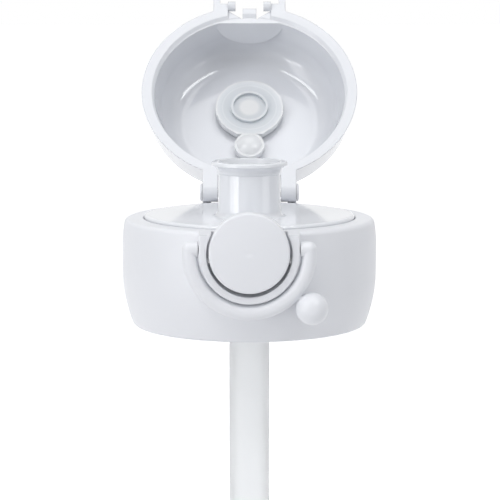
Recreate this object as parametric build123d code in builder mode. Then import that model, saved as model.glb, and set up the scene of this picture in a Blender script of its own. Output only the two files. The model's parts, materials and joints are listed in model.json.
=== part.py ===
import os
from math import cos, radians, sin

from build123d import *

# A flip-top drinking cap for a bottle, with its lid swung open and its lock ring hanging down.
# The origin is the middle of the cap's mouth at the foot of the screw skirt, +Z is up,
# the push button faces -Y and the lid's hinge is at +Y. Millimetres.

# Collar, the outer shell
collar_radius = 33.1
collar_foot_taper = 2.5
collar_foot_round = 0.5
collar_waist_low = 14.0
collar_height = 27.7
collar_waist_drop = 6.7
collar_neck_taper = 0.5
collar_neck_drop = 1.1
shoulder_edge_taper = 1.0
collar_wall = 2.0
shoulder_thickness = 2.0
rib_count = 24
rib_thickness = 1.2
rib_foot = 0.8
rib_head_gap = 0.4
rib_clearance = 0.2

# Inner cap, the screw skirt with the deck, the spout and the vent
neck_bore_inset = 9.8
skirt_wall = 1.7
deck_inset = 5.7
deck_rise = 0.9
deck_thickness = 2.2
deck_round = 0.8
deck_clearance = 0.25
flange_thickness = 1.5
flange_overlap = 1.9
flange_slope = 1.0
flange_clearance = 0.2
flange_side_gap = 1.0
spout_offset = 5.05
spout_radius = 8.15
spout_taper = 0.2
spout_wall = 1.75
spout_height = 14.2
spout_root_round = 1.6
lip_radius = 9.8
lip_thickness = 1.0
lip_flare = 2.0
lip_step = 0.25
lip_wall = 2.0
mouth_depth = 3.4
vent_offset = 8.35
vent_radius = 2.5
vent_root_radius = 3.3
vent_hole_radius = 1.1
vent_drop = 1.3
socket_wall = 1.7
socket_depth = 14.4
straw_stop_thickness = 1.0
straw_stop_width = 0.9

# Seals and straw
straw_radius = 5.25
straw_wall = 1.1
straw_reach = 118.0
straw_cut_rise = 2.2
straw_clearance = 0.05
gasket_width = 1.0
gasket_height = 2.4
gasket_rise = 2.0
gasket_clearance = 0.03
neck_seal_width = 3.1
neck_seal_height = 2.0
neck_seal_drop = 6.2
neck_seal_clearance = 0.05
seal_bead_width = 0.9
seal_bead_drop = 0.8

# Hinge
hinge_setback = 0.5
hinge_rise = 2.8
knuckle_radius = 2.65
hinge_boss_radius = 2.5
hinge_boss_half_width = 8.5
hump_depth = 12.7
hump_swell_drop = 2.2
hump_root = 1.2
hump_edge_round = 1.0
leg_clearance = 0.25
leg_width = 4.25
leg_bury = 6.8
leg_taper = 1.2
cradle_clearance = 0.3
cradle_lip = 0.5
drain_width = 1.9
drain_depth = 1.2
pin_radius = 1.25
pin_running_clearance = 0.05
pin_press_clearance = 0.01
pin_cap_radius = 2.45
pin_cap_thickness = 0.6
pin_cap_gap = 0.1
pin_cap_dome = 0.45
spring_slot_half_width = 3.4
spring_wire = 0.6
spring_turns = 5
spring_clearance = 0.15
spring_leg_lean = 16.5
spring_lid_leg = 4.4
spring_hump_leg = 1.7

# Lid
lid_open_angle = 130.5
lid_inset = 2.3
lid_seat_gap = 0.15
lid_crown_inset = 2.3
lid_crown_shift = 5.0
lid_crown_round = 10.5
lid_top_thickness = 2.0
hollow_rim_inset = 3.5
hollow_rim_shift = 0.9
hollow_ceiling_inset = 3.5
hollow_ceiling_shift = 3.5
hollow_round = 7.5
front_wall_inset = 5.8
front_wall = 1.7
recess_arch_height = 0.4
recess_wall = 1.4
cheek_side_gap = 0.1
cheek_wall = 2.0
cheek_front_gap = 0.3
cheek_tip_height = 1.9
cheek_root_height = 12.0
catch_block_width = 2.3
catch_block_lead = 0.9
catch_block_height = 2.0
catch_radius = 1.45
catch_length = 2.2
catch_reach = 4.2
catch_rise = 0.2
web_thickness = 1.2
web_rise = 0.7
web_reach = 2.9
web_foot = 2.3
tab_width = 4.05
tab_reach = 3.2
tab_thickness = 2.0
rebate_flare = 0.25
rebate_slope = 0.85
rebate_gap = 0.1

# Lid seal
seal_gap = 0.1
seal_radius = 9.9
seal_thickness = 2.0
seal_hub_radius = 6.6
seal_hub_height = 0.7
seal_seat_gap = 0.05
seal_ring_radius = 5.5
seal_ring_width = 0.8
seal_ring_height = 0.8
seal_tab_radius = 4.3
seal_shoulder_angle = 49.0
seal_waist = 3.75
seal_waist_drop = 3.8
seal_dome_radius = 3.6
seal_dome_gap = 0.1
seal_skin = 0.7
seal_post_radius = 2.3
seal_post_head_radius = 3.2
seal_post_head_height = 1.1
seal_post_clearance = 0.1

# Button housing on the collar
housing_drop = 4.8
housing_half_width = 12.3
housing_wall = 1.8
housing_stand = 4.1
housing_depth = 8.0
housing_floor_wall = 1.5
housing_edge_round = 0.4

# Button, a rocker on a cross pin
button_side_gap = 0.6
button_lift = 0.4
button_stand = 1.3
button_dome = 0.7
button_depth = 3.5
button_wall = 1.5
button_edge_round = 0.6
button_pin_radius = 1.0
button_pin_drop = 2.4
button_pin_setback = 5.0
button_pin_grip = 1.1
button_lug_radius = 2.2
button_lug_width = 1.8
button_lug_inset = 3.9
button_pin_clearance = 0.05
tooth_width = 2.2
tooth_thickness = 1.1
tooth_nose = 0.4
tooth_gap = 0.2
tooth_side_gap = 0.35
tooth_overlap = 1.15
push_spring_radius = 1.8
push_spring_wire = 0.4
push_spring_turns = 6
push_spring_side_gap = 0.6
push_spring_end_gap = 0.1

# Lock ring
ring_bar_gap = 0.35
ring_bar_radius = 1.9
ring_setback = 2.0
ring_pivot_rise = 1.1
ring_pin_radius = 1.0
ring_pin_grip = 1.3
ring_pin_clearance = 0.1
ring_side_gap = 0.2
ball_radius = 4.0
ball_angle = 41.5
ball_stand = 0.05
ball_neck_radius = 1.0

# Collar and inner cap: heights and radii that follow from the sizes above
collar_foot_radius = collar_radius - collar_foot_taper
collar_neck_radius = collar_radius - collar_neck_taper
shoulder_edge_radius = collar_neck_radius - shoulder_edge_taper
collar_waist_high = collar_height - collar_waist_drop
shoulder_underside = collar_height - shoulder_thickness
neck_bore_radius = collar_radius - neck_bore_inset
skirt_radius = neck_bore_radius + skirt_wall
deck_radius = collar_radius - deck_inset
opening_radius = deck_radius + deck_clearance
deck_top = collar_height + deck_rise
deck_underside = deck_top - deck_thickness
flange_radius = opening_radius + flange_overlap
flange_underside = shoulder_underside - flange_thickness
spout_bore = spout_radius - spout_wall
lip_top = deck_top + spout_height
straw_top = deck_underside - straw_stop_thickness
socket_bore = straw_radius + straw_clearance
socket_foot = deck_underside - socket_depth
neck_seal_top = collar_height - neck_seal_drop
vent_top = lip_top - vent_drop

# Hinge, housing, button and ring places
hinge_distance = collar_radius + hinge_setback
hinge_height = collar_height + hinge_rise
leg_inside = hinge_boss_half_width + leg_clearance
leg_outside = leg_inside + leg_width
pin_reach = leg_outside + pin_cap_gap + pin_cap_thickness / 2
housing_height = collar_height - housing_drop
housing_front = collar_radius + housing_stand
housing_floor = housing_front - housing_depth
pocket_half_width = housing_half_width - housing_wall
button_radius = pocket_half_width - button_side_gap
button_height = housing_height + button_lift
button_face = housing_front + button_stand
button_back = button_face - button_depth
button_pin_height = housing_height - button_pin_drop
button_pin_distance = housing_front - button_pin_setback
ring_distance = housing_front - ring_setback
ring_pivot_height = housing_height + ring_pivot_rise

# Lid sizes, in its closed place
lid_radius = collar_radius - lid_inset
lid_crown_radius = lid_radius - lid_crown_inset
hollow_rim_radius = lid_radius - hollow_rim_inset
hollow_ceiling_radius = lid_crown_radius - hollow_ceiling_inset
rim_height = collar_height + lid_seat_gap
seal_face = lip_top + seal_gap
head_face = seal_face + seal_skin + seal_post_clearance
ceiling_height = seal_face + seal_thickness + seal_hub_height + seal_seat_gap
crown_height = ceiling_height + lid_top_thickness
leg_root = lid_radius - leg_bury
front_wall_inside = lid_radius - front_wall_inset
front_wall_outside = front_wall_inside + front_wall
cheek_inside = pocket_half_width + cheek_side_gap - cheek_wall
cheek_front = button_back - cheek_front_gap
catch_distance = front_wall_outside + catch_reach
catch_height = rim_height + catch_rise
catch_block_front = catch_distance + catch_block_lead
block_inside = cheek_inside - catch_block_width

spout_plane = Plane.XZ.offset(spout_offset)
spout_axis = Axis((0, -spout_offset, 0), (0, 0, 1))
hinge_axis = Axis((0, hinge_distance, hinge_height), (1, 0, 0))


# The barrel's half section: a foot that swells to a straight waist, then a soft shoulder
def barrel_section(inset, top):
    with BuildSketch(Plane.XZ) as section:
        with BuildLine():
            waist_radius = collar_radius - inset
            Polyline((waist_radius, collar_waist_low), (waist_radius, collar_waist_high))
            TangentArc((waist_radius, collar_waist_low), (collar_foot_radius - inset, collar_foot_round),
                       tangent=(0, -1))
            Polyline((collar_foot_radius - inset, collar_foot_round),
                     (collar_foot_radius - inset - collar_foot_round, 0), (0, 0), (0, top),
                     (shoulder_edge_radius - inset, top))
            neck = (collar_neck_radius - inset, top - collar_neck_drop)
            lean = TangentArc((waist_radius, collar_waist_high), neck, tangent=(0, 1))
            TangentArc(neck, (shoulder_edge_radius - inset, top), tangent=lean % 1)
        make_face()
    return section.sketch


# The housing's front outline: a round bottom with straight sides up to a given height
def housing_section(half_width, top, start):
    with BuildSketch(Plane.XZ.offset(start)) as section:
        with Locations((0, housing_height)):
            Circle(half_width)
        with Locations((0, (housing_height + top) / 2)):
            Rectangle(2 * half_width, top - housing_height)
        with Locations((0, top + half_width)):
            Rectangle(2 * half_width, 2 * half_width, mode=Mode.SUBTRACT)
    return section.sketch


# Collar: shell, stiffening ribs, button housing and hinge hump in one moulding
hump_inside = flange_radius + flange_clearance
hump_back = hinge_distance + hinge_boss_radius
hump_swell = collar_height - hump_swell_drop
hump_foot = collar_height - hump_depth
cradle_top = rim_height + cradle_lip

# Hinge hump: swells out of the barrel, its middle carries the knuckle between the lid's legs
with BuildPart() as hump:
    with BuildSketch(Plane.YZ) as hump_section:
        with BuildLine():
            Polyline((hump_back, hump_swell), (hump_back, cradle_top), (hinge_distance, cradle_top),
                     (hinge_distance, collar_height), (hump_inside, collar_height),
                     (hump_inside, hump_foot), (collar_radius - hump_root, hump_foot))
            TangentArc((hump_back, hump_swell), (collar_radius - hump_root, hump_foot), tangent=(0, -1))
        make_face()
    extrude(amount=leg_outside, both=True)
    wing_edges = [edge for edge in hump.edges()
                  if abs(abs(edge.center().X) - leg_outside) < hump_edge_round / 10
                  and edge.center().Y > hump_back - hump_root and edge.center().Z < cradle_top]
    fillet(wing_edges, hump_edge_round)
    with BuildSketch(Plane.YZ):
        with Locations((hinge_distance, hinge_height)):
            Circle(knuckle_radius + cradle_clearance)
    extrude(amount=leg_outside, both=True, mode=Mode.SUBTRACT)
    with BuildSketch(Plane.YZ):
        with BuildLine():
            Polyline((hinge_distance - hinge_boss_radius, collar_height),
                     (hinge_distance - hinge_boss_radius, hinge_height), (hump_back, hinge_height),
                     (hump_back, hump_swell), (hinge_distance - hinge_boss_radius, hump_swell), close=True)
        make_face()
        with Locations((hinge_distance, hinge_height)):
            Circle(hinge_boss_radius)
    extrude(amount=hinge_boss_half_width, both=True)

with BuildPart() as collar:
    revolve(barrel_section(0, collar_height), axis=Axis.Z)
    revolve(barrel_section(collar_wall, shoulder_underside), axis=Axis.Z, mode=Mode.SUBTRACT)

    # Ribs stand just clear of the screw skirt and run out to the shell
    with BuildSketch(Plane.XY.offset(rib_foot)):
        with PolarLocations((skirt_radius + rib_clearance + collar_foot_radius - collar_wall / 2) / 2,
                            rib_count, start_angle=180 / rib_count):
            Rectangle(collar_foot_radius - collar_wall / 2 - skirt_radius - rib_clearance, rib_thickness)
    extrude(amount=flange_underside - flange_slope - rib_head_gap - rib_foot)

    # Housing: solid first, then the round pocket that the button rocks in
    extrude(housing_section(housing_half_width, collar_height, housing_floor - housing_floor_wall),
            amount=housing_front - housing_floor + housing_floor_wall)
    housing_rim = collar.edges().group_by(Axis.Y)[0]
    fillet(housing_rim.filter_by(Axis.X, reverse=True), housing_edge_round)
    with BuildSketch(Plane.XZ.offset(housing_floor)):
        with Locations((0, housing_height)):
            Circle(pocket_half_width)
    extrude(amount=housing_front - housing_floor + housing_wall, mode=Mode.SUBTRACT)

    # The low wings of the hump cradle the lid's legs, with a drain beside each boss end
    add(hump.part)
    for side in (-1, 1):
        with BuildSketch(Plane.YZ.offset(side * leg_inside)):
            with Locations((hinge_distance, hinge_height)):
                Circle(knuckle_radius + cradle_clearance)
            with Locations((hinge_distance + hinge_boss_radius, collar_height)):
                Rectangle(4 * hinge_boss_radius, 2 * drain_depth)
        extrude(amount=side * drain_width, mode=Mode.SUBTRACT)

    # Slot for the torsion spring, pin bore, and the deck's opening
    with BuildSketch(Plane.XY.offset(collar_height)):
        with Locations((0, hinge_distance)):
            Rectangle(2 * spring_slot_half_width, 4 * hinge_boss_radius)
    extrude(amount=2 * hinge_boss_radius + deck_rise, mode=Mode.SUBTRACT)
    with BuildSketch(Plane.YZ):
        with Locations((hinge_distance, hinge_height)):
            Circle(pin_radius + pin_press_clearance)
    extrude(amount=leg_inside, both=True, mode=Mode.SUBTRACT)
    with BuildSketch(Plane.XY.offset(flange_underside)):
        Circle(opening_radius)
    extrude(amount=shoulder_thickness + flange_thickness + deck_rise, mode=Mode.SUBTRACT)

    # Blind holes for the button's cross pin and the lock ring's pivots
    with BuildSketch(Plane.YZ):
        with Locations((-button_pin_distance, button_pin_height)):
            Circle(button_pin_radius + pin_press_clearance)
    extrude(amount=pocket_half_width + button_pin_grip, both=True, mode=Mode.SUBTRACT)
    for side in (-1, 1):
        with BuildSketch(Plane.YZ.offset(side * housing_half_width)):
            with Locations((-ring_distance, ring_pivot_height)):
                Circle(ring_pin_radius + ring_pin_clearance)
        extrude(amount=-side * ring_pin_grip, mode=Mode.SUBTRACT)
collar.part.label = "collar"

# Inner cap: deck with a rounded edge, screw skirt, spout, vent and straw socket
socket_radius = socket_bore + socket_wall
seat_inside = neck_bore_radius - neck_seal_width
flange_notch = housing_floor - housing_floor_wall - deck_clearance

with BuildPart() as inner_cap:
    with BuildSketch(Plane.XZ):
        with BuildLine():
            Polyline((0, deck_underside), (0, deck_top), (deck_radius - deck_round, deck_top))
            RadiusArc((deck_radius - deck_round, deck_top), (deck_radius, deck_top - deck_round), deck_round)
            Polyline((deck_radius, deck_top - deck_round), (deck_radius, shoulder_underside),
                     (flange_radius, shoulder_underside),
                     (flange_radius, flange_underside), (skirt_radius, flange_underside - flange_slope),
                     (skirt_radius, 0), (neck_bore_radius, 0), (neck_bore_radius, neck_seal_top),
                     (seat_inside, neck_seal_top), (seat_inside - seal_bead_width, neck_seal_top),
                     (seat_inside - seal_bead_width, deck_underside), (0, deck_underside))
        make_face()
    revolve(axis=Axis.Z)

    # A bead inside the seat keeps the neck seal from slipping inwards
    with BuildSketch(Plane.XY.offset(neck_seal_top)):
        Circle(seat_inside - neck_seal_clearance)
        Circle(seat_inside - seal_bead_width, mode=Mode.SUBTRACT)
    extrude(amount=-seal_bead_drop)

    # The flange steps back behind the button housing
    with BuildSketch(Plane.XY.offset(flange_underside - flange_slope)):
        with Locations((0, -flange_notch)):
            Rectangle(2 * (housing_half_width + flange_side_gap), 4 * flange_overlap,
                      align=(Align.CENTER, Align.MAX))
    extrude(amount=flange_slope + flange_thickness, mode=Mode.SUBTRACT)

    # Spout with a flared drinking lip, and the straw socket under the deck
    with BuildSketch(spout_plane):
        with BuildLine():
            neck_radius = spout_radius - spout_taper
            flare_foot = (neck_radius + lip_step, lip_top - lip_thickness - lip_flare)
            flare_top = (lip_radius, lip_top - lip_thickness)
            neck_top = (neck_radius, lip_top - lip_thickness - lip_flare - lip_step)
            Polyline((0, lip_top), (lip_radius - lip_thickness / 2, lip_top))
            RadiusArc((lip_radius - lip_thickness / 2, lip_top), (lip_radius, lip_top - lip_thickness / 2),
                      lip_thickness / 2)
            Line((lip_radius, lip_top - lip_thickness / 2), flare_top)
            TangentArc(flare_foot, flare_top, tangent=(0, 1))
            Polyline(flare_foot, neck_top, (spout_radius, deck_top + spout_root_round))
            TangentArc((spout_radius, deck_top + spout_root_round),
                       (spout_radius + spout_root_round, deck_top), tangent=(0, -1))
            Polyline((spout_radius + spout_root_round, deck_top),
                     (spout_radius + spout_root_round, deck_underside),
                     (socket_radius, deck_underside), (socket_radius, socket_foot), (0, socket_foot),
                     (0, lip_top))
        make_face()
    revolve(axis=spout_axis)

    # Vent chimney behind the spout, closed by the lid seal's small dome
    with BuildSketch(Plane.XY.offset(deck_underside)):
        with Locations((0, vent_offset)):
            Circle(vent_root_radius)
    with BuildSketch(Plane.XY.offset(vent_top)):
        with Locations((0, vent_offset)):
            Circle(vent_radius)
    loft()

    # Bores: mouth, spout, straw stop, straw socket with the gasket's groove, vent
    with BuildSketch(spout_plane):
        with BuildLine():
            stop_radius = straw_radius - straw_stop_width
            gasket_foot = socket_foot + gasket_rise
            groove_radius = socket_bore + gasket_width
            Polyline((0, socket_foot), (socket_bore, socket_foot), (socket_bore, gasket_foot),
                     (groove_radius, gasket_foot), (groove_radius, gasket_foot + gasket_height),
                     (socket_bore, gasket_foot + gasket_height), (socket_bore, straw_top),
                     (stop_radius, straw_top), (stop_radius, deck_underside),
                     (spout_bore, deck_underside), (spout_bore, lip_top - mouth_depth),
                     (lip_radius - lip_wall, lip_top), (0, lip_top), (0, socket_foot))
        make_face()
    revolve(axis=spout_axis, mode=Mode.SUBTRACT)
    with BuildSketch(Plane.XY.offset(deck_underside)):
        with Locations((0, vent_offset)):
            Circle(vent_hole_radius)
    extrude(amount=vent_top - deck_underside, mode=Mode.SUBTRACT)
inner_cap.part.label = "inner_cap"

# Neck seal: the flat ring that the bottle's rim presses on
with BuildPart() as neck_seal:
    with BuildSketch(Plane.XY.offset(neck_seal_top)):
        Circle(neck_bore_radius - neck_seal_clearance)
        Circle(seat_inside + neck_seal_clearance, mode=Mode.SUBTRACT)
    extrude(amount=-neck_seal_height)
neck_seal.part.label = "neck_seal"

# Straw gasket in the socket's groove
with BuildPart() as straw_gasket:
    with BuildSketch(Plane.XY.offset(gasket_foot + gasket_clearance)):
        with Locations((0, -spout_offset)):
            Circle(groove_radius - gasket_clearance)
            Circle(straw_radius + gasket_clearance, mode=Mode.SUBTRACT)
    extrude(amount=gasket_height - 2 * gasket_clearance)
straw_gasket.part.label = "straw_gasket"

# Straw: a plain tube with a slant cut at its foot
with BuildPart() as straw:
    with BuildSketch(Plane.XY.offset(-straw_reach)):
        with Locations((0, -spout_offset)):
            Circle(straw_radius)
            Circle(straw_radius - straw_wall, mode=Mode.SUBTRACT)
    extrude(amount=straw_reach + straw_top)
    with BuildSketch(Plane.YZ):
        with BuildLine():
            straw_back = straw_radius - spout_offset
            Polyline((-spout_offset - straw_radius, -straw_reach), (straw_back, -straw_reach),
                     (straw_back, straw_cut_rise - straw_reach), close=True)
        make_face()
    extrude(amount=2 * straw_radius, both=True, mode=Mode.SUBTRACT)
straw.part.label = "straw"


# The front recess of the lid: straight sides under a half-round arch
def recess_section(half_width, start):
    with BuildSketch(Plane.XZ.offset(start)) as section:
        with Locations((0, rim_height + recess_arch_height)):
            Circle(half_width)
        with Locations((0, rim_height + recess_arch_height)):
            Rectangle(2 * half_width, 2 * half_width, align=(Align.CENTER, Align.MAX))
    return section.sketch


# Lid's hollow: a leaning bowl with a round corner to its ceiling, flat where the front recess is
with BuildPart() as lid_hollow:
    with BuildSketch(Plane.XY.offset(rim_height)):
        with Locations((0, hollow_rim_shift)):
            Circle(hollow_rim_radius)
    with BuildSketch(Plane.XY.offset(ceiling_height)):
        with Locations((0, -hollow_ceiling_shift)):
            Circle(hollow_ceiling_radius)
    loft(ruled=True)
    fillet(lid_hollow.edges().group_by(Axis.Z)[-1], hollow_round)
    extrude(recess_section(cheek_inside + recess_wall, front_wall_inside), amount=lid_radius,
            mode=Mode.SUBTRACT)

# Lid, modelled closed and then swung open about the hinge
with BuildPart() as lid:
    with BuildSketch(Plane.XY.offset(rim_height)):
        Circle(lid_radius)
    with BuildSketch(Plane.XY.offset(crown_height)):
        with Locations((0, -lid_crown_shift)):
            Circle(lid_crown_radius)
    loft(ruled=True)
    fillet(lid.edges().group_by(Axis.Z)[-1], lid_crown_round)

    # Front recess behind the button's top, between two cheeks
    extrude(recess_section(cheek_inside, front_wall_outside), amount=lid_radius, mode=Mode.SUBTRACT)
    for side in (-1, 1):
        with BuildSketch(Plane.YZ.offset(side * cheek_inside)):
            with BuildLine():
                Polyline((-front_wall_inside, rim_height), (-cheek_front, rim_height),
                         (-cheek_front, rim_height + cheek_tip_height),
                         (-front_wall_outside, rim_height + cheek_root_height),
                         (-front_wall_inside, rim_height + cheek_root_height), close=True)
            make_face()
        extrude(amount=side * cheek_wall)

    # Legs reach back to the hinge and end in knuckles
    for side in (-1, 1):
        with BuildSketch(Plane.YZ.offset(side * leg_inside)):
            with Locations((hinge_distance, hinge_height)):
                Circle(knuckle_radius)
            with BuildLine():
                Polyline((hinge_distance, hinge_height - knuckle_radius),
                         (hinge_distance, hinge_height + knuckle_radius),
                         (leg_root, hinge_height + knuckle_radius - leg_taper),
                         (leg_root, hinge_height - knuckle_radius), close=True)
            make_face()
        extrude(amount=side * leg_width)
    add(lid_hollow.part, mode=Mode.SUBTRACT)

    # Catches: round bars on two blocks, tied to the front wall by webs, with a tab between
    for side in (-1, 1):
        with BuildSketch(Plane.YZ.offset(side * block_inside)):
            with Locations((-front_wall_inside, rim_height)):
                Rectangle(catch_block_front - front_wall_inside, catch_block_height,
                          align=(Align.MAX, Align.MIN))
        extrude(amount=side * catch_block_width)
        with BuildSketch(Plane.YZ.offset(side * block_inside)):
            with Locations((-catch_distance, catch_height)):
                Circle(catch_radius)
        extrude(amount=-side * catch_length)
        with BuildSketch(Plane.XY.offset(rim_height + web_rise)):
            with BuildLine():
                Polyline((side * web_foot, -front_wall_outside), (side * block_inside, -front_wall_outside),
                         (side * block_inside, -front_wall_outside - web_reach), close=True)
            make_face()
        extrude(amount=web_thickness)
    with BuildSketch(Plane.XY.offset(rim_height)):
        with Locations((0, -front_wall_outside)):
            Rectangle(tab_width, tab_reach, align=(Align.CENTER, Align.MAX))
    extrude(amount=tab_thickness)

    # Sloping rebate that lets the rim pass over the raised deck
    with BuildSketch(Plane.XY.offset(rim_height)):
        Circle(opening_radius + rebate_flare)
    with BuildSketch(Plane.XY.offset(deck_top + rebate_gap)):
        Circle(opening_radius + rebate_flare - rebate_slope)
    loft(ruled=True, mode=Mode.SUBTRACT)

    # Post with a wide head that the seal is stretched over
    with BuildSketch(Plane.XY.offset(ceiling_height)):
        with Locations((0, -spout_offset)):
            Circle(seal_post_radius)
    extrude(amount=head_face + seal_post_head_height / 2 - ceiling_height)
    with BuildSketch(Plane.XY.offset(head_face)):
        with Locations((0, -spout_offset)):
            Circle(seal_post_head_radius)
    extrude(amount=seal_post_head_height)

    # Pin bores in the legs
    with BuildSketch(Plane.YZ):
        with Locations((hinge_distance, hinge_height)):
            Circle(pin_radius + pin_running_clearance)
    extrude(amount=pin_reach, both=True, mode=Mode.SUBTRACT)
lid_open = lid.part.rotate(hinge_axis, -lid_open_angle)
lid_open.label = "lid"

# Lid seal: keyhole plate with a hub, a raised ring, and a dome that closes the vent
shoulder_half_width = seal_radius * cos(radians(seal_shoulder_angle))
shoulder_place = seal_radius * sin(radians(seal_shoulder_angle)) - spout_offset
waist_place = vent_offset - seal_waist_drop

with BuildPart() as lid_seal:
    with BuildSketch(Plane.XY.offset(seal_face)):
        with Locations((0, -spout_offset)):
            Circle(seal_radius)
        with Locations((0, vent_offset)):
            Circle(seal_tab_radius)
        with BuildLine():
            Polyline((-shoulder_half_width, shoulder_place), (shoulder_half_width, shoulder_place),
                     (seal_waist, waist_place), (-seal_waist, waist_place), close=True)
        make_face()
    extrude(amount=seal_thickness)
    with BuildSketch(Plane.XY.offset(seal_face + seal_thickness)):
        with Locations((0, -spout_offset)):
            Circle(seal_hub_radius)
    extrude(amount=ceiling_height - seal_seat_gap - seal_face - seal_thickness)
    with BuildSketch(Plane.XY.offset(seal_face)):
        with Locations((0, -spout_offset)):
            Circle(seal_ring_radius)
            Circle(seal_ring_radius - seal_ring_width, mode=Mode.SUBTRACT)
    extrude(amount=-seal_ring_height)
    dome_drop = seal_face - vent_top - seal_dome_gap
    with BuildSketch(Plane.XZ.offset(-vent_offset)):
        with BuildLine():
            Polyline((0, seal_face - dome_drop), (0, seal_face), (seal_dome_radius, seal_face))
            TangentArc((0, seal_face - dome_drop), (seal_dome_radius, seal_face), tangent=(1, 0))
        make_face()
    revolve(axis=Axis((0, vent_offset, 0), (0, 0, 1)))
    # Blind bore with an undercut for the lid's post
    with BuildSketch(Plane.XY.offset(head_face)):
        with Locations((0, -spout_offset)):
            Circle(seal_post_radius + seal_post_clearance)
    extrude(amount=ceiling_height - head_face, mode=Mode.SUBTRACT)
    with BuildSketch(Plane.XY.offset(head_face - seal_post_clearance)):
        with Locations((0, -spout_offset)):
            Circle(seal_post_head_radius + seal_post_clearance)
    extrude(amount=seal_post_head_height + 2 * seal_post_clearance, mode=Mode.SUBTRACT)
seal_open = lid_seal.part.rotate(hinge_axis, -lid_open_angle)
seal_open.label = "lid_seal"

# Hinge pin through the hump and both legs
with BuildPart() as hinge_pin:
    with BuildSketch(Plane.YZ):
        with Locations((hinge_distance, hinge_height)):
            Circle(pin_radius)
    extrude(amount=pin_reach, both=True)
hinge_pin.part.label = "hinge_pin"


# A domed cap pressed on one end of the hinge pin
def make_pin_cap(side, name):
    with BuildPart() as pin_cap:
        with BuildSketch(Plane.YZ.offset(side * (leg_outside + pin_cap_gap))):
            with Locations((hinge_distance, hinge_height)):
                Circle(pin_cap_radius)
        extrude(amount=side * pin_cap_thickness)
        outer_edge = pin_cap.edges().sort_by(Axis.X)[-1 if side > 0 else 0]
        fillet(outer_edge, pin_cap_dome)
        with BuildSketch(Plane.YZ):
            with Locations((hinge_distance, hinge_height)):
                Circle(pin_radius + pin_press_clearance)
        extrude(amount=side * pin_reach, mode=Mode.SUBTRACT)
    pin_cap.part.label = name
    return pin_cap.part


pin_caps = [make_pin_cap(-1, "pin_cap_left"), make_pin_cap(1, "pin_cap_right")]

# Torsion spring round the hinge pin: close coils, a leg for the lid's rim and one for the hump
coil_radius = pin_radius + spring_clearance + spring_wire / 2
coil_length = 2 * (spring_slot_half_width - spring_clearance) - spring_wire
with BuildPart() as hinge_spring:
    with BuildLine() as spring_path:
        coil = Helix(coil_length / spring_turns, coil_length, coil_radius)
        Line(coil @ 0 - (coil % 0) * spring_lid_leg, coil @ 0)
        Line(coil @ 1, coil @ 1 + (coil % 1) * spring_hump_leg)
    path_start = coil @ 0 - (coil % 0) * spring_lid_leg
    with BuildSketch(Plane(origin=path_start, z_dir=coil % 0)):
        Circle(spring_wire / 2)
    sweep(path=spring_path.line)
coil_place = Plane(origin=(-coil_length / 2, hinge_distance, hinge_height),
                   x_dir=(0, -cos(radians(spring_leg_lean)), sin(radians(spring_leg_lean))), z_dir=(1, 0, 0))
spring_placed = hinge_spring.part.moved(coil_place.location)
spring_placed.label = "hinge_spring"

# Button: a hollow disc with a soft dome, pin lugs, two hooked teeth and a stud for its spring
tooth_foot = catch_height + catch_radius + tooth_gap
tooth_tip = catch_distance + catch_radius - tooth_overlap
tooth_outside = block_inside - tooth_side_gap
push_height = button_height - button_radius + button_wall + push_spring_side_gap + push_spring_radius
inside_face = button_face - button_wall
button_axis = Axis((0, 0, button_height), (0, -1, 0))

with BuildPart() as button:
    with BuildSketch(Plane.XY.offset(button_height)):
        with BuildLine():
            round_start = (button_radius - button_edge_round, -button_face)
            round_end = (button_radius, -button_face + button_edge_round)
            TangentArc((0, -button_face - button_dome), round_start, tangent=(1, 0))
            RadiusArc(round_start, round_end, -button_edge_round)
            Polyline(round_end, (button_radius, -button_back), (button_radius - button_wall, -button_back),
                     (button_radius - button_wall, -inside_face), (0, -inside_face),
                     (0, -button_face - button_dome))
        make_face()
    revolve(axis=button_axis)
    for side in (-1, 1):
        with BuildSketch(Plane.YZ.offset(side * (button_radius - button_lug_inset))):
            with Locations((-button_pin_distance, button_pin_height)):
                Circle(button_lug_radius)
            with Locations((-(button_pin_distance + button_face) / 2, button_pin_height)):
                Rectangle(button_face - button_pin_distance, 2 * button_lug_radius)
        extrude(amount=button_lug_width / 2, both=True)
        with BuildSketch(Plane.YZ.offset(side * tooth_outside)):
            with BuildLine():
                Polyline((-button_face, tooth_foot), (-tooth_tip, tooth_foot),
                         (-tooth_tip, tooth_foot + tooth_nose),
                         (-tooth_tip - tooth_overlap, tooth_foot + tooth_thickness),
                         (-button_face, tooth_foot + tooth_thickness), close=True)
            make_face()
        extrude(amount=-side * tooth_width)
    with BuildSketch(Plane.XZ.offset(button_back)):
        with Locations((0, push_height)):
            Circle(push_spring_radius - push_spring_wire - button_pin_clearance)
    extrude(amount=button_depth)
    with BuildSketch(Plane.YZ):
        with Locations((-button_pin_distance, button_pin_height)):
            Circle(button_pin_radius + button_pin_clearance)
    extrude(amount=pocket_half_width, both=True, mode=Mode.SUBTRACT)
button.part.label = "button"

# Cross pin of the button, held in the housing's walls
with BuildPart() as button_pin:
    with BuildSketch(Plane.YZ):
        with Locations((-button_pin_distance, button_pin_height)):
            Circle(button_pin_radius)
    extrude(amount=pocket_half_width + button_pin_grip - pin_press_clearance, both=True)
button_pin.part.label = "button_pin"

# Push spring between the housing's floor and the button's lower half
push_length = inside_face - housing_floor - 2 * push_spring_end_gap - push_spring_wire
push_radius = push_spring_radius - push_spring_wire / 2
push_start = (0, -housing_floor - push_spring_end_gap - push_spring_wire / 2, push_height)
with BuildPart() as button_spring:
    with BuildLine():
        push_coil = Helix(push_length / push_spring_turns, push_length, push_radius, center=push_start,
                          direction=(0, -1, 0))
    with BuildSketch(Plane(origin=push_coil @ 0, z_dir=push_coil % 0)):
        Circle(push_spring_wire / 2)
    sweep(path=push_coil)
button_spring.part.label = "button_spring"

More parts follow.
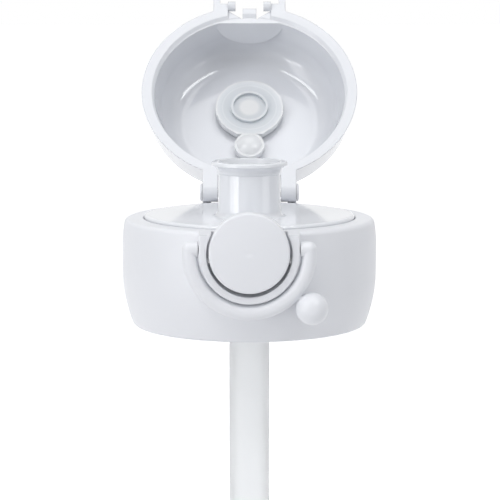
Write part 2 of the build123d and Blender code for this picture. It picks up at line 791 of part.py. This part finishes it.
# Lock ring: a round bar bent to a half circle, with inward pivots and a ball grip
ring_radius = housing_half_width + ring_bar_gap + ring_bar_radius
stub_inside = housing_half_width + ring_side_gap
ball_distance = ring_radius + ring_bar_radius + ball_radius + ball_stand
ball_x = ball_distance * cos(radians(ball_angle))
ball_z = housing_height - ball_distance * sin(radians(ball_angle))

with BuildPart() as lock_ring:
    with BuildSketch(Plane.XY.offset(housing_height)):
        with Locations((ring_radius, -ring_distance)):
            Circle(ring_bar_radius)
    revolve(axis=Axis((0, -ring_distance, housing_height), (0, 1, 0)), revolution_arc=180)
    for side in (-1, 1):
        with BuildSketch(Plane.XY.offset(housing_height)):
            with Locations((side * ring_radius, -ring_distance)):
                Circle(ring_bar_radius)
        extrude(amount=ring_pivot_height - housing_height)
        with Locations((side * ring_radius, -ring_distance, ring_pivot_height)):
            Sphere(ring_bar_radius)
        with BuildSketch(Plane.YZ.offset(side * ring_radius)):
            with Locations((-ring_distance, ring_pivot_height)):
                Circle(ring_bar_radius)
        extrude(amount=side * (stub_inside - ring_radius))
        with BuildSketch(Plane.YZ.offset(side * stub_inside)):
            with Locations((-ring_distance, ring_pivot_height)):
                Circle(ring_pin_radius)
        extrude(amount=-side * (ring_side_gap + ring_pin_grip - ring_pin_clearance))
    with Locations((ball_x, -ring_distance, ball_z)):
        Sphere(ball_radius)
    neck_start = Plane(origin=(ring_radius * cos(radians(ball_angle)), -ring_distance,
                               housing_height - ring_radius * sin(radians(ball_angle))),
                       z_dir=(cos(radians(ball_angle)), 0, -sin(radians(ball_angle))))
    with BuildSketch(neck_start):
        Circle(ball_neck_radius)
    extrude(amount=ring_bar_radius + ball_stand + ball_radius / 2)
lock_ring.part.label = "lock_ring"

os.makedirs("parts", exist_ok=True)
pieces = [collar.part, inner_cap.part, neck_seal.part, straw_gasket.part, straw.part, lid_open, seal_open,
          hinge_pin.part, *pin_caps, spring_placed, button.part, button_pin.part, button_spring.part,
          lock_ring.part]
for piece in pieces:
    export_step(piece, f"parts/{piece.label}.step")
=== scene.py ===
import json
import math

import bmesh
import bpy
from mathutils import Matrix, Vector


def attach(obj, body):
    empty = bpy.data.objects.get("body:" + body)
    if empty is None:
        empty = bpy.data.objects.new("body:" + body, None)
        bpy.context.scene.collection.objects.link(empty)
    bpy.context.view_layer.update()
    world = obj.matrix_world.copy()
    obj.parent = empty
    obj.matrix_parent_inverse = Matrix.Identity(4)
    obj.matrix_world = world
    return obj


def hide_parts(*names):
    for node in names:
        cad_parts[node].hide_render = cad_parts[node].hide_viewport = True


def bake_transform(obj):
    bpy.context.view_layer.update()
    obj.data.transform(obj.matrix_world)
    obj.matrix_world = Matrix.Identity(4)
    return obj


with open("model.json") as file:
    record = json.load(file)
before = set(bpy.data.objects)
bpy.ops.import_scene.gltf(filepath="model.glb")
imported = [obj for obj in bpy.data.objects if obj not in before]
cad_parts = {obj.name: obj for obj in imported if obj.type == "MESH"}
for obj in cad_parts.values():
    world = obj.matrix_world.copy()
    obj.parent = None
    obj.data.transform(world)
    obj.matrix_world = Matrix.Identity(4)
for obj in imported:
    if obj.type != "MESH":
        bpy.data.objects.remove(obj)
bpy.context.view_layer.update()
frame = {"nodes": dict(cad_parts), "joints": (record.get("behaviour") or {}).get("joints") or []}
nodes = frame["nodes"]
mm = 0.001


# Material helpers

def toLinear(hexColour):  # sRGB hex to the linear values that shaders take
    channels = [int(hexColour[i:i + 2], 16) / 255 for i in (1, 3, 5)]
    return tuple(c / 12.92 if c <= 0.04045 else ((c + 0.055) / 1.055) ** 2.4 for c in channels) + (1.0,)


def addNode(tree, kind, settings=None, links=None):  # one node, its settings and what feeds it
    node = tree.nodes.new(kind)
    for key, value in (settings or {}).items():
        if isinstance(key, int) or key in node.inputs:
            node.inputs[key].default_value = value
        else:
            setattr(node, key, value)
    for key, source in (links or {}).items():
        tree.links.new(source, node.inputs[key])
    return node


def startMaterial(name):
    material = bpy.data.materials.new(name)
    material.use_nodes = True
    material.node_tree.nodes.clear()
    return material, material.node_tree


def perMetre(sizeInMm):  # texture scale for a pattern whose cells are this many millimetres wide
    return 1 / (sizeInMm * mm)


def backgroundRays(tree):  # 1 on rays that see the background: straight, mirrored or through a clear piece
    path = addNode(tree, "ShaderNodeLightPath").outputs
    seen = addNode(tree, "ShaderNodeMath", {"operation": "MAXIMUM"},
                   {0: path["Is Camera Ray"], 1: path["Is Glossy Ray"]}).outputs[0]
    return addNode(tree, "ShaderNodeMath", {"operation": "MAXIMUM"},
                   {0: seen, 1: path["Is Transmission Ray"]}).outputs[0]


def dressPlastic(name, finish):
    material, tree = startMaterial(name)
    coords = addNode(tree, "ShaderNodeTexCoord").outputs["Object"]
    # Slow drift of tone, as where melt of slightly different heat met in the mould
    drift = addNode(tree, "ShaderNodeTexNoise", {"Scale": perMetre(finish["driftMm"]), "Detail": 3.0},
                    {"Vector": coords}).outputs["Fac"]
    tone = addNode(tree, "ShaderNodeMix", {"data_type": "RGBA"}, {"Factor": drift})
    tone.inputs[6].default_value = toLinear(finish["colour"])
    tone.inputs[7].default_value = toLinear(finish["shade"])
    colour = tone.outputs[2]
    if "rings" in finish:
        # Rings of painted highlight and painted shade: how far a point is from the moulding's axis picks its
        # tone, from the middle out to the rim
        reach = finish["reachMm"]
        toAxis = addNode(tree, "ShaderNodeMapping",
                         {"Location": finish["axisShift"], "Rotation": finish["axisTurn"]},
                         {"Vector": coords}).outputs["Vector"]
        flat = addNode(tree, "ShaderNodeVectorMath", {"operation": "MULTIPLY", 1: (1, 1, 0)},
                       {0: toAxis}).outputs["Vector"]
        far = addNode(tree, "ShaderNodeVectorMath", {"operation": "LENGTH"}, {0: flat}).outputs["Value"]
        place = addNode(tree, "ShaderNodeMath", {"operation": "DIVIDE", 1: reach * mm}, {0: far}).outputs[0]
        paintedLightRamp = addNode(tree, "ShaderNodeValToRGB", {}, {"Fac": place})
        stops = paintedLightRamp.color_ramp.elements
        for radius, _ in finish["rings"][:-2]:  # a new ramp already has two stops
            stops.new(radius / reach)
        for stop, (radius, shade) in zip(stops, finish["rings"]):
            stop.position = radius / reach
            stop.color = toLinear(shade)
        colour = addNode(tree, "ShaderNodeMix",
                         {"data_type": "RGBA", "blend_type": "MULTIPLY", "Factor": 1.0},
                         {6: tone.outputs[2], 7: paintedLightRamp.outputs["Color"]}).outputs[2]
    # Handling wear: tiny patches where the gloss is a little lower
    smear = addNode(tree, "ShaderNodeTexNoise", {"Scale": perMetre(finish["smearMm"]), "Detail": 5.0,
                                                "Roughness": 0.6}, {"Vector": coords}).outputs["Fac"]
    gloss = addNode(tree, "ShaderNodeMapRange", {"From Min": 0.3, "From Max": 0.7,
                                                "To Min": finish["roughness"] - finish["spread"],
                                                "To Max": finish["roughness"] + finish["spread"]},
                    {"Value": smear}).outputs["Result"]
    # The mould's own grain, finer on the real part and drawn as coarse as it needs to show. Sharp edges are
    # softened where the finish says how far
    grain = addNode(tree, "ShaderNodeTexNoise", {"Scale": perMetre(finish["grainMm"]), "Detail": 2.0},
                    {"Vector": coords}).outputs["Fac"]
    bump = addNode(tree, "ShaderNodeBump", {"Strength": finish["grainStrength"],
                                           "Distance": finish["grainDepthMm"] * mm}, {"Height": grain})
    if "edgeMm" in finish:
        soft = addNode(tree, "ShaderNodeBevel", {"samples": 6, "Radius": finish["edgeMm"] * mm})
        tree.links.new(soft.outputs["Normal"], bump.inputs["Normal"])
    shader = addNode(tree, "ShaderNodeBsdfPrincipled",
                     {"IOR": finish["ior"], "Subsurface Weight": finish["glow"],
                      "Subsurface Scale": finish["glowDepthMm"] * mm,
                      "Subsurface Radius": (1.0, 1.0, 1.0),
                      "Transmission Weight": finish.get("clear", 0.0)},
                     {"Base Color": colour, "Roughness": gloss, "Normal": bump.outputs["Normal"]})
    addNode(tree, "ShaderNodeOutputMaterial", {}, {"Surface": shader.outputs["BSDF"]})
    return material


# Polypropylene, injection moulded in a finely blasted mould: soft wide highlights, a milky body
satinShell = {"colour": "#E9EAEE", "shade": "#E4E6EA", "driftMm": 30, "smearMm": 6, "grainMm": 0.35,
              "grainDepthMm": 0.02, "grainStrength": 0.12, "edgeMm": 0.45, "roughness": 0.36, "spread": 0.03,
              "ior": 1.49, "glow": 0.15, "glowDepthMm": 1.0}
# The same polymer from a polished mould: mirrors the hinge legs and the spout
polishedDeck = {"colour": "#E9EBEF", "shade": "#E4E6EA", "driftMm": 25, "smearMm": 5, "grainMm": 2.5,
                "grainDepthMm": 0.006, "grainStrength": 0.03, "edgeMm": 0.3, "roughness": 0.05,
                "spread": 0.015, "ior": 1.49, "glow": 0.15, "glowDepthMm": 1.0}
# The lid is polished too, with the faint ripple that thick walls take as they cool. Its tone is a little
# darker than the collar's, though it is the same polymer: painted shade for the lid's hollow
polishedLidPaintedShade = {"colour": "#DFE1E5", "shade": "#DADCE1", "driftMm": 28, "smearMm": 6, "grainMm": 3.5,
               "grainDepthMm": 0.006, "grainStrength": 0.03, "edgeMm": 0.45, "roughness": 0.07,
               "spread": 0.015, "ior": 1.49, "glow": 0.12, "glowDepthMm": 1.0}
# Silicone rubber, compression moulded and left natural: cloudy, light passes and scatters
naturalSilicone = {"colour": "#F6F7F8", "shade": "#F0F2F4", "driftMm": 9, "smearMm": 3, "grainMm": 0.5,
                   "grainDepthMm": 0.01, "grainStrength": 0.05, "roughness": 0.16, "spread": 0.03,
                   "ior": 1.41, "glow": 0.5, "glowDepthMm": 2.5, "clear": 0.2}
# The lid's seal is of that silicone too, with its light and shade painted on in rings: a painted highlight in
# its middle, a painted highlight on its rim, painted highlights and painted shade at its steps and raised
# ring. Each ring is a radius in millimetres and the tone from there on
sealPaintedLight = {**naturalSilicone, "reachMm": 12.0, "axisAtMm": -5.05,
              "rings": ((0.0, "#FFFFFF"), (2.4, "#FFFFFF"), (3.3, "#E6E9EC"), (4.6, "#E0E4E8"),
                        (5.1, "#F4F6F8"), (5.6, "#E0E4E8"), (7.6, "#E6E9EC"), (7.9, "#F2F4F6"),
                        (8.2, "#E9ECEF"), (9.3, "#F0F2F4"), (9.7, "#FFFFFF"))}
# The rings are set out as with the lid shut, where the seal's axis is the spout's
lidHinge = frame["joints"][0]
hingeAt = Vector(lidHinge["pos_m"])
shutTurn = math.radians(lidHinge["range_deg"][1])
spoutAt = Vector((0, sealPaintedLight["axisAtMm"] * mm, 0))
sealPaintedLight["axisTurn"] = (shutTurn, 0, 0)
sealPaintedLight["axisShift"] = tuple(hingeAt - spoutAt - Matrix.Rotation(shutTurn, 3, "X") @ hingeAt)
# Polypropylene tube, extruded with no pigment: hazy, pale, a little darker towards its edges
naturalTube = {"colour": "#FAFBFC", "shade": "#F6F7F8", "driftMm": 18, "smearMm": 4, "grainMm": 0.8,
               "grainDepthMm": 0.002, "grainStrength": 0.01, "roughness": 0.38, "spread": 0.02,
               "ior": 1.45, "glow": 0.1, "glowDepthMm": 1.2, "clear": 0.82}

satinPolypropylene = dressPlastic("mouldedSatinPolypropylene", satinShell)
deckPolypropylene = dressPlastic("mouldedPolishedPolypropylene", polishedDeck)
lidPolypropylenePaintedShade = dressPlastic("mouldedPolishedLidPolypropylenePaintedShade", polishedLidPaintedShade)
siliconeRubber = dressPlastic("mouldedNaturalSilicone", naturalSilicone)
sealRubberPaintedLight = dressPlastic("mouldedSealSiliconePaintedLight", sealPaintedLight)
tubePolypropylene = dressPlastic("extrudedNaturalPolypropylene", naturalTube)


def drawnSteel(name, finish):
    material, tree = startMaterial(name)
    coords = addNode(tree, "ShaderNodeTexCoord").outputs["Object"]
    # Die lines run along the pins, which lie across the cap
    squeeze = addNode(tree, "ShaderNodeMapping", {"Scale": (1 / finish["lineStretch"], 1.0, 1.0)},
                      {"Vector": coords})
    lines = addNode(tree, "ShaderNodeTexNoise", {"Scale": perMetre(finish["lineMm"]), "Detail": 4.0},
                    {"Vector": squeeze.outputs["Vector"]}).outputs["Fac"]
    gloss = addNode(tree, "ShaderNodeMapRange", {"To Min": finish["roughness"] - finish["spread"],
                                                "To Max": finish["roughness"] + finish["spread"]},
                    {"Value": lines}).outputs["Result"]
    bump = addNode(tree, "ShaderNodeBump", {"Strength": finish["lineStrength"],
                                           "Distance": finish["lineDepthMm"] * mm}, {"Height": lines})
    shader = addNode(tree, "ShaderNodeBsdfPrincipled",
                     {"Base Color": toLinear(finish["colour"]), "Metallic": 1.0},
                     {"Roughness": gloss, "Normal": bump.outputs["Normal"]})
    addNode(tree, "ShaderNodeOutputMaterial", {}, {"Surface": shader.outputs["BSDF"]})
    return material


# Stainless spring wire and rod, drawn through dies: fine lines along it, a cool grey shine
drawnWire = {"colour": "#C9CACB", "lineMm": 0.25, "lineStretch": 20, "lineDepthMm": 0.004,
             "lineStrength": 0.2, "roughness": 0.28, "spread": 0.08}
drawnStainlessSteel = drawnSteel("drawnStainlessSteel", drawnWire)

finishes = {
    "collar": satinPolypropylene, "button": satinPolypropylene, "lock_ring": satinPolypropylene,
    "pin_cap_left": satinPolypropylene, "pin_cap_right": satinPolypropylene,
    "inner_cap": deckPolypropylene, "lid": lidPolypropylenePaintedShade,
    "lid_seal": sealRubberPaintedLight, "neck_seal": siliconeRubber, "straw_gasket": siliconeRubber,
    "straw": tubePolypropylene,
    "hinge_pin": drawnStainlessSteel, "hinge_spring": drawnStainlessSteel,
    "button_pin": drawnStainlessSteel, "button_spring": drawnStainlessSteel,
}
for name, material in finishes.items():
    nodes[name].data.materials.clear()
    nodes[name].data.materials.append(material)
print("finishes on:", len(finishes), "CAD nodes")


# Screw thread inside the skirt

def buildThread(spec):
    mesh = bmesh.new()
    steps = int(spec["turns"] * spec["stepsPerTurn"])
    fade = spec["fadeTurns"] * spec["stepsPerTurn"]
    rings = []
    for i in range(steps + 1):
        turn = 2 * math.pi * i / spec["stepsPerTurn"] + spec["start"]
        height = spec["foot"] + spec["pitch"] * i / spec["stepsPerTurn"]
        rise = min(1.0, i / fade, (steps - i) / fade)
        rise = math.sin(rise * math.pi / 2)
        wall, root = spec["wall"], spec["wall"] + spec["root"]
        crest = wall - spec["depth"] * rise
        shoulder = crest + spec["shoulderDrop"] * rise
        half, top = spec["base"] / 2, spec["crest"] / 2
        side = top + spec["shoulderLead"]
        profile = [(root, -half), (wall, -half), (shoulder, -side), (crest, -top),
                   (crest, top), (shoulder, side), (wall, half), (root, half)]
        rings.append([mesh.verts.new((r * mm * math.cos(turn), r * mm * math.sin(turn), (height + z) * mm))
                      for r, z in profile])
    for a, b in zip(rings, rings[1:]):
        for j in range(len(a)):
            k = (j + 1) % len(a)
            mesh.faces.new((a[j], b[j], b[k], a[k]))
    mesh.faces.new(rings[0])
    mesh.faces.new(rings[-1][::-1])
    bmesh.ops.recalc_face_normals(mesh, faces=mesh.faces)
    data = bpy.data.meshes.new(spec["name"])
    mesh.to_mesh(data)
    mesh.free()
    data.polygons.foreach_set("use_smooth", [True] * len(data.polygons))
    piece = bpy.data.objects.new(spec["name"], data)
    bpy.context.collection.objects.link(piece)
    data.materials.append(deckPolypropylene)
    return piece


# Millimetres, apart from the turns and the start angle in radians
thread = {"name": "skirtThread", "wall": 23.3, "root": 0.4, "depth": 1.1, "base": 2.4, "crest": 1.0,
          "shoulderDrop": 0.25, "shoulderLead": 0.15, "pitch": 5.0, "turns": 2.2, "foot": 3.5, "start": 0.6,
          "fadeTurns": 0.12, "stepsPerTurn": 120}
skirtThread = buildThread(thread)
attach(skirtThread, "cap")
print("thread:", len(skirtThread.data.polygons), "faces")

# Push spring: a copy of the CAD spring's mesh, which takes the CAD spring's place between its seat and the
# button
pressSpring = {"name": "pushSpring", "seat": (0, -29.4 * mm, 17.3 * mm),
               "front": (0, -36.4 * mm, 17.3 * mm)}
pushSpring = bpy.data.objects.new(pressSpring["name"], nodes["button_spring"].data.copy())
bpy.context.collection.objects.link(pushSpring)
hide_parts("button_spring")
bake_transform(pushSpring)
print("push spring:", len(pushSpring.data.polygons), "faces")

# Floor, a pale sheet under the straw's foot that keeps the object's shadow
floor = {"drop": -0.1186, "half": 8.0, "colour": "#EFEFF0", "lift": 0.7, "speckleMm": 40.0,
         "smoothest": 0.75, "roughest": 0.85}
floorData = bpy.data.meshes.new("floor")
floorData.from_pydata([(x * floor["half"], y * floor["half"], floor["drop"])
                       for x, y in ((-1, -1), (1, -1), (1, 1), (-1, 1))], [], [(0, 1, 2, 3)])
floorPiece = bpy.data.objects.new("floor", floorData)
bpy.context.collection.objects.link(floorPiece)

floorMaterial, tree = startMaterial("paintedFloor")
coords = addNode(tree, "ShaderNodeTexCoord").outputs["Object"]
speckle = addNode(tree, "ShaderNodeTexNoise", {"Scale": perMetre(floor["speckleMm"])},
                  {"Vector": coords}).outputs["Fac"]
dull = addNode(tree, "ShaderNodeMapRange", {"To Min": floor["smoothest"], "To Max": floor["roughest"]},
               {"Value": speckle}).outputs["Result"]
paint = addNode(tree, "ShaderNodeBsdfPrincipled", {"Base Color": toLinear(floor["colour"])},
                {"Roughness": dull})
glow = addNode(tree, "ShaderNodeMath", {"operation": "MULTIPLY", 1: floor["lift"]},
               {0: backgroundRays(tree)}).outputs[0]
shine = addNode(tree, "ShaderNodeEmission", {"Color": (1, 1, 1, 1)}, {"Strength": glow})
both = addNode(tree, "ShaderNodeAddShader", {}, {0: paint.outputs[0], 1: shine.outputs[0]})
# From below, the sheet is clear, so that the underside of the part shows
under = addNode(tree, "ShaderNodeNewGeometry").outputs["Backfacing"]
clear = addNode(tree, "ShaderNodeBsdfTransparent")
sheet = addNode(tree, "ShaderNodeMixShader", {}, {0: under, 1: both.outputs[0], 2: clear.outputs[0]})
addNode(tree, "ShaderNodeOutputMaterial", {}, {"Surface": sheet.outputs[0]})
floorData.materials.append(floorMaterial)

# World: white where it is seen, mirrored or seen through, and an even soft light otherwise
sky = {"ambient": 0.36, "tint": "#F4F6FA"}
world = bpy.data.worlds.new("studio")
bpy.context.scene.world = world
world.use_nodes = True
tree = world.node_tree
tree.nodes.clear()
soft = addNode(tree, "ShaderNodeBackground", {"Color": toLinear(sky["tint"]), "Strength": sky["ambient"]})
white = addNode(tree, "ShaderNodeBackground", {"Color": (1, 1, 1, 1), "Strength": 1.0})
mixed = addNode(tree, "ShaderNodeMixShader", {},
                {0: backgroundRays(tree), 1: soft.outputs[0], 2: white.outputs[0]})
addNode(tree, "ShaderNodeOutputWorld", {}, {"Surface": mixed.outputs[0]})

# Soft boxes: a tall one, a low strip and a high strip on the left, a weaker low strip and a high strip on the
# right, a wide one above. The low strips draw the stripes on the spout, the high ones the arcs in the lid
lamps = {
    "leftTall": {"turn": -49, "rise": 8, "size": (0.34, 1.10), "watts": 2.7},
    "leftStrip": {"turn": -57, "rise": -8, "size": (0.60, 0.22), "watts": 1.3},
    "rightStrip": {"turn": 64, "rise": -8, "size": (0.50, 0.22), "watts": 0.6},
    "leftHigh": {"turn": -45, "rise": 48, "size": (0.50, 0.14), "watts": 1.6},
    "rightHigh": {"turn": 45, "rise": 48, "size": (0.50, 0.14), "watts": 2.2},
    "above": {"turn": 0, "rise": 85, "size": (0.60, 0.60), "watts": 2.4},
}
lampReach = 0.95
aim = Vector((0, 0, 0.03))
for name, spec in lamps.items():
    data = bpy.data.lights.new(name, "AREA")
    data.shape = "RECTANGLE"
    data.size, data.size_y = spec["size"]
    data.energy = spec["watts"]
    lamp = bpy.data.objects.new(name, data)
    bpy.context.collection.objects.link(lamp)
    turn, rise = math.radians(spec["turn"]), math.radians(spec["rise"])
    ray = Vector((math.sin(turn) * math.cos(rise), -math.cos(turn) * math.cos(rise), math.sin(rise)))
    lamp.location = aim + ray * lampReach
    lamp.rotation_mode = "QUATERNION"
    lamp.rotation_quaternion = (-ray).to_track_quat("-Z", "Y")
print("lights:", len(lamps), "soft boxes")

# Camera, a long lens looking slightly down
lensSpec = {"place": (0.00016, -0.5151, 0.0900), "pitchDown": 7.85, "lens": 143.1, "sensor": 36.0}
cameraData = bpy.data.cameras.new("camera")
cameraData.lens = lensSpec["lens"]
cameraData.sensor_width = lensSpec["sensor"]
cameraPiece = bpy.data.objects.new("camera", cameraData)
bpy.context.collection.objects.link(cameraPiece)
cameraPiece.location = lensSpec["place"]
cameraPiece.rotation_euler = (math.radians(90 - lensSpec["pitchDown"]), 0, 0)
bpy.context.scene.camera = cameraPiece
bpy.context.scene.view_settings.view_transform = "Standard"
print("camera set")
